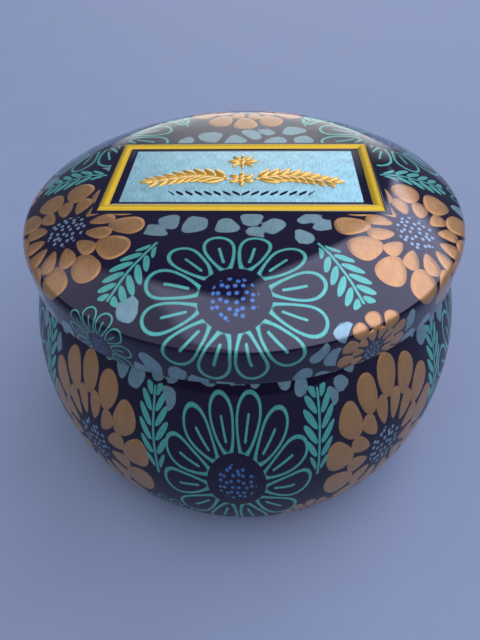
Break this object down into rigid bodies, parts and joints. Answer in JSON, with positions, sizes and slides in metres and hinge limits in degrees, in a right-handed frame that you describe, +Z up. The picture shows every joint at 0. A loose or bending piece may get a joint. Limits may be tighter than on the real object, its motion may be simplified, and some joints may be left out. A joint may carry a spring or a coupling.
{
  "type": "candle tin",
  "caption": "Empty round tinplate candle tin with a bulged body, a rolled rim and a printed slip lid that lifts straight off, with a pressed rectangular frame on its flat top.",
  "frame": {"origin": "middle of the foot ring, on the surface that the tin stands on", "axes": "+Z up along the tin's axis; +X to the right along the long side of the lid's frame; -Y towards the front"},
  "size_m": [0.0844, 0.0844, 0.0575],
  "materials": {
    "printed_body": "gloss lacquer over a lithographed print on tinplate; bare lacquered tinplate inside",
    "printed_lid": "gloss lacquer over a lithographed print on tinplate, with a gold printed frame; bare lacquered tinplate inside"
  },
  "bodies": {
    "tin": {"tin_body": "printed_body"},
    "lid": {"slip_lid": "printed_lid"}
  },
  "joints": [
    {"name": "lid_lift", "type": "slide", "parent": "tin", "child": "lid", "axis": [0, 0, 1], "range_m": [0, 0.04]}
  ]
}
